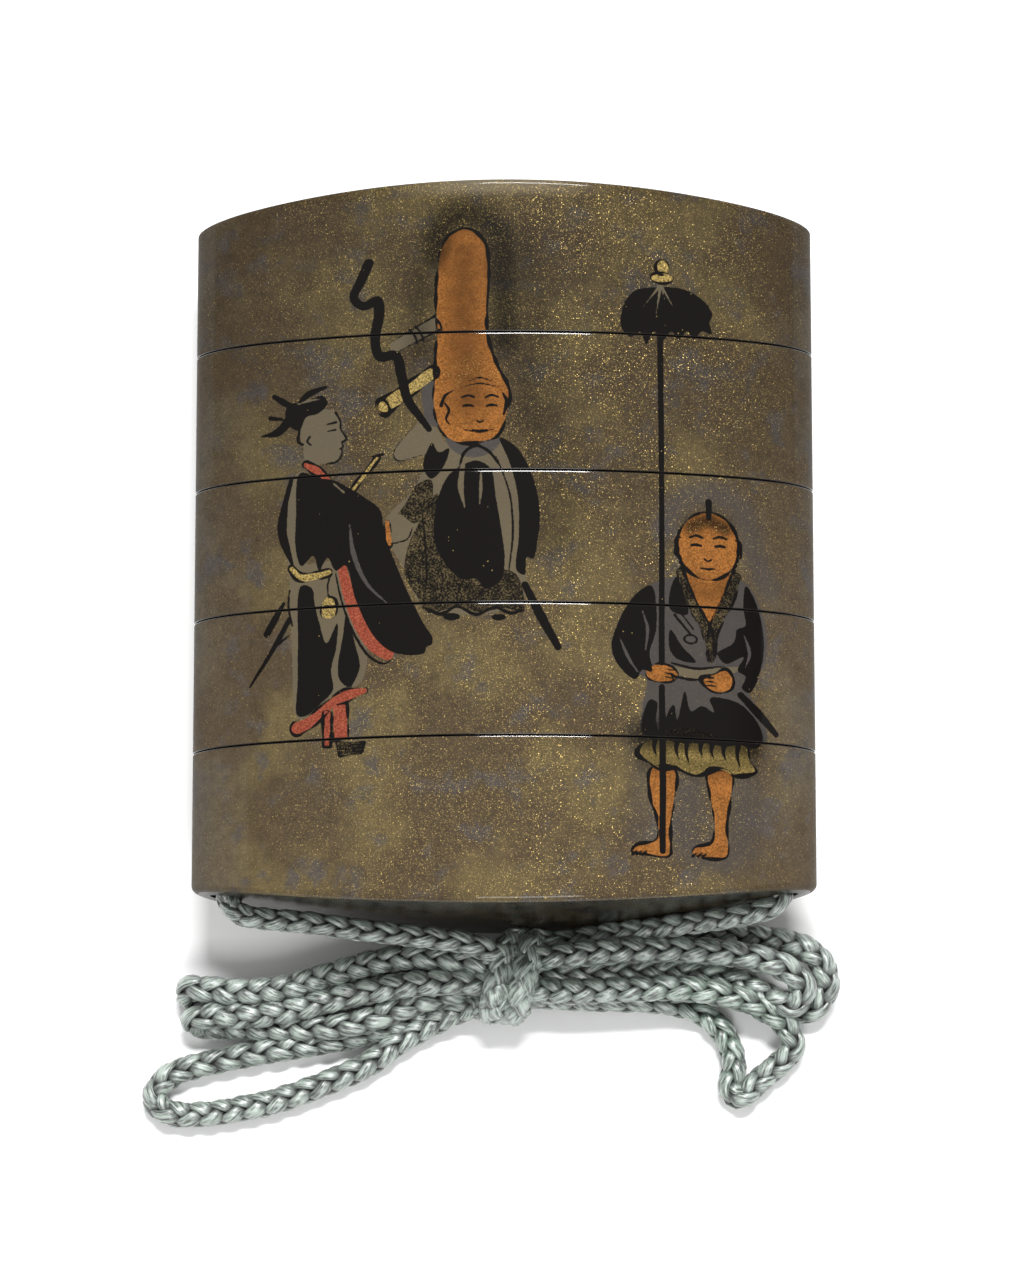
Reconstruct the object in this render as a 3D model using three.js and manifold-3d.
import * as THREE from 'three';
import { mergeVertices } from 'three/addons/utils/BufferGeometryUtils.js';
import Module from 'manifold-3d';

// An inro, a small stacked case of lacquer, lying on its back with its silk cord gathered in a hank.
// Millimetres. X runs across the case, +Y towards the lid, +Z out of the painted front.
// The origin is under the middle of the case, at the height of the surface that it lies on.

// The stack
const WIDTH = 63;
const HEIGHT = 73.7;
const EDGE = 3.95; // half the thickness, at the narrow sides
const CROWN = 7.85; // how far the front and the back bulge past the sides
const SQUARENESS = 15; // power of the curve that rounds the narrow sides
const END_ARCH = 2.65; // drop of the two end faces from the middle to the sides
const SEAMS = [-20.17, -6.75, 6.76, 20.96]; // heights of the joints between the pieces
const SEAM_GAP = 0.3;
const RIM_BEVEL = 0.4;

// Walls and the way that the pieces fit into each other
const RECESS_WALL = 1.2;
const FIT_GAP = 0.3;
const RISER_WALL = 1.0;
const RISER_HEIGHT = 4.5;
const FLOOR = 1.2;
const END_WALL = 1.6;
const RECESS_HALF_WIDTH = 25.6;

// The cord and its channels
const CHANNEL_X = 28;
const CHANNEL_RADIUS = 1.6;
const CORD_RADIUS = 1.35;
const LEAD_RADIUS = 1.2;
const CORD_GAP = 0.3;
const CORD_TUCK = 1.0; // how far the cord's ends sit below the mouths in the lid
const CORD_SIDES = 8;
const LEAD_STEP = 2.4;
const LOOP_STEP = 4;

// Divisions
const OUTLINE_SEGMENTS = 48;
const CHANNEL_SEGMENTS = 12;
const TIE_SEGMENTS = 24;

const HALF_WIDTH = WIDTH / 2;
const HALF_HEIGHT = HEIGHT / 2;
const FACET = (2 * Math.PI) / OUTLINE_SEGMENTS;

// The back is flat between the two outline points beside its middle, so that the case lies still.
const FLAT_HALF_WIDTH = HALF_WIDTH * Math.sin(FACET);
const FLAT_DEPTH = crown(FLAT_HALF_WIDTH) + EDGE;
const MIDDLE_Z = FLAT_DEPTH;

const lacquer = new THREE.MeshStandardMaterial({ color: 0x5f553c, roughness: 0.25, metalness: 0.3 });
const silk = new THREE.MeshStandardMaterial({ color: 0x7d8c87, roughness: 0.55, metalness: 0.0 });

const wasm = await Module();
wasm.setup();

function solidOf(geometry) {
  geometry.deleteAttribute('normal');
  geometry.deleteAttribute('uv');
  const merged = mergeVertices(geometry, 1e-4);
  return new wasm.Manifold(new wasm.Mesh({
    numProp: 3,
    vertProperties: new Float32Array(merged.attributes.position.array),
    triVerts: new Uint32Array(merged.index.array),
  }));
}

function geometryOf(solid) {
  const mesh = solid.getMesh();
  const geometry = new THREE.BufferGeometry();
  geometry.setAttribute('position', new THREE.BufferAttribute(mesh.vertProperties, 3));
  geometry.setIndex(new THREE.BufferAttribute(mesh.triVerts, 1));
  geometry.computeVertexNormals();
  return geometry;
}

function named(name, geometry, material) {
  const mesh = new THREE.Mesh(geometry, material);
  mesh.name = name;
  return mesh;
}

// The cross-section: a lens with blunt, rounded sides

function crown(x) {
  return CROWN * (1 - (x / HALF_WIDTH) ** 2);
}

// Half the thickness at x of an outline that lies wall inside the outer surface and ends at halfWidth.
function halfThickness(x, outline) {
  const round = Math.sqrt(Math.max(0, 1 - Math.abs(x / outline.halfWidth) ** SQUARENESS));
  return (EDGE - outline.wall + crown(x)) * round;
}

const OUTER = { halfWidth: HALF_WIDTH, wall: 0 };
const RIM = { halfWidth: HALF_WIDTH - RIM_BEVEL, wall: RIM_BEVEL };
const RECESS = { halfWidth: RECESS_HALF_WIDTH, wall: RECESS_WALL };
const RISER = { halfWidth: RECESS.halfWidth - FIT_GAP, wall: RECESS.wall + FIT_GAP };
const CAVITY = { halfWidth: RISER.halfWidth - RISER_WALL, wall: RISER.wall + RISER_WALL };

// A ring of the profile: an outline at a height, shrunk to share of its size, with its ends bent by arch.
function ring(outline, y, share = 1, arch = 0) {
  return { outline, y, share, arch };
}

// Turns a profile of rings into a closed solid, as a lathe would if its work could be lens-shaped.
function lensTurned(profile) {
  const geometry = new THREE.LatheGeometry(profile.map(({ share, y }) => new THREE.Vector2(share, y)),
    OUTLINE_SEGMENTS);
  const position = geometry.attributes.position;
  for (let i = 0; i <= OUTLINE_SEGMENTS; i++) {
    const angle = (i % OUTLINE_SEGMENTS) * FACET;
    profile.forEach(({ outline, y, share, arch }, j) => {
      const x = outline.halfWidth * Math.sin(angle);
      const half = halfThickness(x, outline) * Math.sign(Math.round(Math.cos(angle) * 1e6));
      const z = Math.max(half, -FLAT_DEPTH);
      const bend = arch * ((x * share) / HALF_WIDTH) ** 2;
      position.setXYZ(i * profile.length + j, x * share, y - bend, MIDDLE_Z + z * share);
    });
  }
  return solidOf(geometry);
}

const END_SHARES = [0.75, 0.5, 0.25, 0];

function channels() {
  const cut = new THREE.CylinderGeometry(CHANNEL_RADIUS, CHANNEL_RADIUS, HEIGHT + 2, CHANNEL_SEGMENTS);
  const right = solidOf(cut.translate(CHANNEL_X, 0, MIDDLE_Z));
  return right.add(right.translate(-2 * CHANNEL_X, 0, 0));
}

// The pieces of the case

function lid(seam) {
  const bottom = seam + SEAM_GAP / 2;
  const ceiling = HALF_HEIGHT - END_WALL;
  return lensTurned([
    ring(RECESS, ceiling, 0, END_ARCH),
    ring(RECESS, ceiling, 1, END_ARCH),
    ring(RECESS, bottom),
    ring(OUTER, bottom),
    ring(OUTER, HALF_HEIGHT - RIM_BEVEL, 1, END_ARCH),
    ring(RIM, HALF_HEIGHT, 1, END_ARCH),
    ...END_SHARES.map((share) => ring(RIM, HALF_HEIGHT, share, END_ARCH)),
  ]);
}

function riser(top) {
  return [
    ring(OUTER, top),
    ring(RISER, top),
    ring(RISER, top + RISER_HEIGHT),
    ring(CAVITY, top + RISER_HEIGHT),
  ];
}

function middleCase(lowSeam, highSeam) {
  const bottom = lowSeam + SEAM_GAP / 2;
  const underside = bottom + RISER_HEIGHT + FIT_GAP;
  return lensTurned([
    ring(RECESS, underside, 0),
    ring(RECESS, underside),
    ring(RECESS, bottom),
    ring(OUTER, bottom),
    ...riser(highSeam - SEAM_GAP / 2),
    ring(CAVITY, underside + FLOOR),
    ring(CAVITY, underside + FLOOR, 0),
  ]);
}

function bottomCase(seam) {
  const floor = END_WALL - HALF_HEIGHT;
  return lensTurned([
    ...END_SHARES.map((share) => ring(RIM, -HALF_HEIGHT, share, -END_ARCH)).reverse(),
    ring(RIM, -HALF_HEIGHT, 1, -END_ARCH),
    ring(OUTER, RIM_BEVEL - HALF_HEIGHT, 1, -END_ARCH),
    ...riser(seam - SEAM_GAP / 2),
    ring(CAVITY, floor, 1, -END_ARCH),
    ring(CAVITY, floor, 0, -END_ARCH),
  ]);
}

// The cord's route. It leaves the left channel, runs to the tie, makes three loops on each side,
// goes round the tie and returns to the right channel.

const LEFT_LEAD = [
  [-28.0, -35.3, 11.7], [-27.7, -36.2, 11.8], [-26.6, -37.0, 12.0], [-25.0, -37.25, 12.1],
  [-22.2, -37.25, 12.0], [-17.3, -37.6, 11.2], [-12.5, -38.0, 10.3], [-7.5, -38.4, 9.2],
  [-3.6, -38.8, 8.4],
];

const RIGHT_LOOP_2 = [
  [1.0, -40.3, 6.3], [5.2, -40.2, 7.0], [13.6, -39.8, 7.1], [18.7, -39.9, 6.7], [23.9, -40.3, 6.0],
  [28.0, -41.1, 5.3], [30.2, -42.2, 5.0], [30.9, -43.6, 4.7], [30.0, -44.8, 4.3], [28.5, -44.7, 3.9],
  [26.4, -43.6, 3.5], [23.6, -42.3, 3.3], [19.0, -41.3, 3.4], [14.0, -41.2, 3.9], [8.0, -41.5, 4.5],
  [1.0, -41.3, 4.8],
];

const LEFT_LOOP_1 = [
  [1.0, -41.3, 5.0], [-4.0, -40.1, 5.8], [-8.0, -39.6, 5.4], [-12.5, -39.9, 4.8], [-19.0, -41.4, 4.2],
  [-23.0, -42.2, 3.9], [-28.0, -42.0, 3.8], [-31.4, -42.0, 3.8], [-33.0, -42.5, 3.2],
  [-32.9, -43.4, 2.1], [-31.2, -43.9, 1.5], [-27.0, -44.0, 1.4], [-22.6, -43.3, 1.4],
  [-17.0, -41.7, 1.6], [-12.0, -40.6, 2.0], [-6.0, -40.7, 2.7], [1.0, -40.2, 3.2],
];

const RIGHT_LOOP_1 = [
  [1.0, -40.2, 3.0], [6.0, -38.8, 1.9], [12.0, -38.3, 1.8], [19.0, -37.9, 2.6], [26.0, -37.9, 3.1],
  [29.6, -38.5, 3.4], [32.3, -40.0, 3.4], [33.3, -42.0, 3.2], [33.1, -43.9, 2.6], [31.4, -45.2, 1.8],
  [29.0, -45.0, 1.4], [26.5, -43.6, 1.4], [22.5, -42.0, 1.4], [16.0, -41.3, 1.4], [9.0, -41.4, 1.5],
  [1.0, -42.0, 2.4],
];

const LEFT_LOOP_2 = [
  [1.0, -42.0, 2.4], [-4.0, -42.9, 2.6], [-8.0, -43.9, 3.0], [-12.5, -45.8, 3.8], [-17.0, -46.8, 3.6],
  [-22.0, -46.7, 2.6], [-27.0, -46.7, 1.6], [-30.6, -46.8, 1.4], [-32.4, -46.9, 1.8],
  [-33.0, -46.6, 2.8], [-31.6, -46.1, 3.8], [-27.4, -45.9, 4.1], [-23.0, -45.4, 4.4],
  [-18.0, -44.2, 4.6], [-12.5, -42.9, 4.8], [-7.0, -42.2, 5.3], [1.0, -42.7, 5.4],
];

const RIGHT_LOOP_3 = [
  [1.0, -42.7, 5.4], [5.7, -43.9, 5.4], [11.0, -43.7, 5.4], [17.0, -43.2, 5.3], [21.0, -43.5, 5.0],
  [24.2, -44.8, 4.4], [27.2, -46.2, 3.6], [29.0, -48.0, 2.8], [28.9, -49.9, 2.1], [27.0, -51.4, 1.6],
  [25.5, -52.9, 1.4], [24.5, -54.1, 1.4], [23.2, -54.0, 1.5], [22.9, -52.6, 1.6], [23.4, -50.8, 1.6],
  [22.9, -48.6, 1.4], [21.4, -46.4, 1.4], [19.0, -45.0, 1.4], [15.6, -44.4, 1.4], [8.0, -44.4, 1.5],
  [1.0, -43.8, 2.5],
];

const LEFT_LOOP_3 = [
  [1.0, -43.8, 2.5], [-4.0, -43.9, 1.6], [-8.0, -44.8, 1.4], [-12.0, -46.5, 1.4], [-16.6, -47.8, 1.4],
  [-21.6, -48.6, 1.4], [-27.5, -49.5, 1.4], [-32.5, -50.8, 1.4], [-35.3, -52.2, 1.4],
  [-36.4, -54.0, 1.4], [-35.4, -55.6, 1.4], [-33.2, -56.0, 1.4], [-29.0, -55.4, 1.4],
  [-23.5, -54.0, 1.4], [-18.0, -52.2, 1.4], [-13.6, -50.1, 1.4], [-10.0, -47.7, 1.6],
  [-7.0, -45.9, 2.4], [-4.0, -44.8, 3.2], [-1.0, -44.0, 3.6],
];

const RIGHT_LEAD = [
  [5.6, -38.4, 4.6], [8.5, -38.1, 4.5], [11.5, -37.8, 4.7], [14.6, -37.65, 5.2], [17.2, -37.45, 6.2],
  [20.2, -37.25, 8.0], [23.2, -37.15, 10.0], [25.2, -37.0, 11.2], [26.8, -36.7, 11.6],
  [27.7, -36.1, 11.7], [28.0, -35.3, 11.7],
];

// The tie: the cord's last turns round the bundle, as one oval band that leans to the right
const TIE_CENTRE = [1.3, -41.8, 4.2];
const TIE_HALF_DEPTH = 4.65;
const TIE_HALF_HEIGHT = 4.15;
const TIE_WIDTH = 5.2;
const TIE_LEAN = 0.235;

function cordTube(points, radius, step) {
  const route = new THREE.CatmullRomCurve3(points.map(([x, y, z]) => new THREE.Vector3(x, y, z)), false,
    'centripetal');
  const section = new THREE.Shape(new THREE.EllipseCurve(0, 0, radius, radius).getPoints(CORD_SIDES)
    .slice(0, CORD_SIDES));
  const steps = Math.round(route.getLength() / step);
  return solidOf(new THREE.ExtrudeGeometry(section, { steps, bevelEnabled: false, extrudePath: route }));
}

function tie() {
  const oval = new THREE.EllipseCurve(0, 0, TIE_HALF_HEIGHT, TIE_HALF_DEPTH).getPoints(TIE_SEGMENTS)
    .slice(0, TIE_SEGMENTS);
  const band = new THREE.ExtrudeGeometry(new THREE.Shape(oval), { depth: TIE_WIDTH, bevelEnabled: false });
  band.translate(0, 0, -TIE_WIDTH / 2).rotateY(Math.PI / 2);
  band.applyMatrix4(new THREE.Matrix4().makeShear(0, 0, TIE_LEAN, 0, 0, 0));
  return solidOf(band.translate(...TIE_CENTRE));
}

function hank() {
  const loops = [RIGHT_LOOP_2, LEFT_LOOP_1, RIGHT_LOOP_1, LEFT_LOOP_2, RIGHT_LOOP_3, LEFT_LOOP_3];
  return loops.reduce((bundle, loop) => bundle.add(cordTube(loop, CORD_RADIUS, LOOP_STEP)), tie());
}

// The stretch of cord inside a channel, from the mouth in the bottom to just under the mouth in the lid
function channelCord(side) {
  const arch = END_ARCH * (CHANNEL_X / HALF_WIDTH) ** 2;
  const low = arch - HALF_HEIGHT + CORD_GAP;
  const high = HALF_HEIGHT - arch - CORD_TUCK;
  const cord = new THREE.CylinderGeometry(LEAD_RADIUS, LEAD_RADIUS, high - low, CORD_SIDES);
  return solidOf(cord.translate(side * CHANNEL_X, (low + high) / 2, MIDDLE_Z));
}

const cut = channels();
const pieces = new Map([
  ['lid', lid(SEAMS[3])],
  ['case_1', middleCase(SEAMS[2], SEAMS[3])],
  ['case_2', middleCase(SEAMS[1], SEAMS[2])],
  ['case_3', middleCase(SEAMS[0], SEAMS[1])],
  ['case_4', bottomCase(SEAMS[0])],
]);

const inro = new THREE.Group();
for (const [name, piece] of pieces) {
  inro.add(named(name, geometryOf(piece.subtract(cut)), lacquer));
}

const cord = new THREE.Group();
cord.add(named('cord_left_channel', geometryOf(channelCord(-1)), silk));
cord.add(named('cord_right_channel', geometryOf(channelCord(1)), silk));
cord.add(named('cord_left_lead', geometryOf(cordTube(LEFT_LEAD, LEAD_RADIUS, LEAD_STEP)), silk));
cord.add(named('cord_right_lead', geometryOf(cordTube(RIGHT_LEAD, LEAD_RADIUS, LEAD_STEP)), silk));
cord.add(named('cord_hank', geometryOf(hank()), silk));
inro.add(cord);

export default inro;
